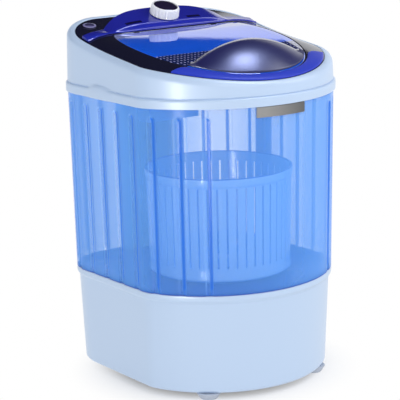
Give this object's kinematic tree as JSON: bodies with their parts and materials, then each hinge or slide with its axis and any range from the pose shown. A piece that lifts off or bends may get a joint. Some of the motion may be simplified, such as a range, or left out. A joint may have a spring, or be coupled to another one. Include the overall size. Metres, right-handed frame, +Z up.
{
  "type": "top load washing machine",
  "caption": "Compact top load washing machine with a clear wash tank, a slotted spin basket, a hinged clear lid with a raised grip, and a clockwork timer knob.",
  "frame": {"origin": "on the floor under the middle of the bounding box in plan", "axes": "+Z up, -Y towards the front where the lid is lifted, +X to the right of a user at the front"},
  "size_m": [0.3292, 0.3446, 0.5139],
  "materials": {
    "shell_white": "smooth satin white",
    "cover_grey": "moulded",
    "foot_rubber": "pale grey rubber",
    "tank_blue": "clear blue moulded plastic",
    "filter_blue": "tinted moulded plastic",
    "loom_black": "sleeved wires",
    "seal_rubber": "moulded rubber",
    "pipe_grey": "moulded",
    "pulley_black": "glass filled nylon",
    "belt_rubber": "cord reinforced rubber",
    "turned_steel": "turned",
    "motor_metal": "cast end bells and a steel can",
    "bracket_steel": "pressed and zinc plated",
    "housing_iron": "die cast",
    "capacitor_plastic": "moulded can",
    "basket_blue": "tinted moulded plastic",
    "pulsator_blue": "moulded",
    "plate_metal": "brushed",
    "deck_black": "high gloss black",
    "trim_blue": "high gloss blue",
    "panel_blue": "high gloss blue",
    "inlet_violet": "tinted moulded plastic",
    "timer_plastic": "moulded",
    "timer_box": "moulded",
    "knob_white": "fluted",
    "cap_dark": "gloss",
    "lid_clear": "clear polycarbonate",
    "grip_violet": "dark tinted gloss",
    "strip_silver": "bright trim"
  },
  "bodies": {
    "cabinet": {"base_housing": "shell_white", "top_shell": "shell_white", "rear_duct_cover": "shell_white", "bottom_cover": "cover_grey", "foot_front_left": "foot_rubber", "foot_front_right": "foot_rubber", "foot_rear_left": "foot_rubber", "foot_rear_right": "foot_rubber", "wash_tank": "tank_blue", "overflow_filter": "filter_blue", "wiring_loom": "loom_black", "tank_gasket": "seal_rubber", "shaft_seal": "seal_rubber", "cord_gland": "seal_rubber", "motor_mount_front_left": "seal_rubber", "motor_mount_front_right": "seal_rubber", "motor_mount_rear_left": "seal_rubber", "motor_mount_rear_right": "seal_rubber", "drain_elbow": "pipe_grey", "drain_outlet": "pipe_grey", "drive_belt": "belt_rubber", "lower_bearing": "turned_steel", "upper_bearing": "turned_steel", "hinge_pin_left": "turned_steel", "hinge_pin_right": "turned_steel", "motor": "motor_metal", "motor_bracket": "bracket_steel", "bearing_housing": "housing_iron", "motor_capacitor": "capacitor_plastic", "front_plate": "plate_metal", "deck": "deck_black", "front_trim": "trim_blue", "control_panel": "panel_blue", "water_inlet": "inlet_violet", "timer_body": "timer_plastic", "timer_housing": "timer_box"},
    "lid": {"lid_window": "lid_clear", "lid_grip": "grip_violet", "grip_strip": "strip_silver"},
    "knob": {"timer_knob": "knob_white", "knob_cap": "cap_dark", "timer_shaft": "turned_steel"},
    "drum": {"drive_shaft": "turned_steel", "drive_pulley": "pulley_black", "pulsator": "pulsator_blue", "spin_basket": "basket_blue", "basket_lock_cap": "pulsator_blue"},
    "motor_rotor": {"motor_pulley": "turned_steel"}
  },
  "joints": [
    {"name": "lid_hinge", "type": "hinge", "parent": "cabinet", "child": "lid", "pos_m": [0, 0.0786, 0.4746], "axis": [-1, 0, 0], "range_deg": [0, 92]},
    {"name": "timer_turn", "type": "hinge", "parent": "cabinet", "child": "knob", "pos_m": [0, 0.1053, 0.49516], "axis": [0, 0.3256, -0.9455], "range_deg": [0, 300]},
    {"name": "basket_spin", "type": "hinge", "parent": "cabinet", "child": "drum", "pos_m": [0, -0.0175, 0.15], "axis": [0, 0, 1], "continuous": true},
    {"name": "motor_spin", "type": "hinge", "parent": "cabinet", "child": "motor_rotor", "pos_m": [0, 0.095, 0.03], "axis": [0, 0, 1], "continuous": true}
  ],
  "couplings": [
    {"joint": "motor_spin", "follows": "basket_spin", "ratio": 5}
  ]
}
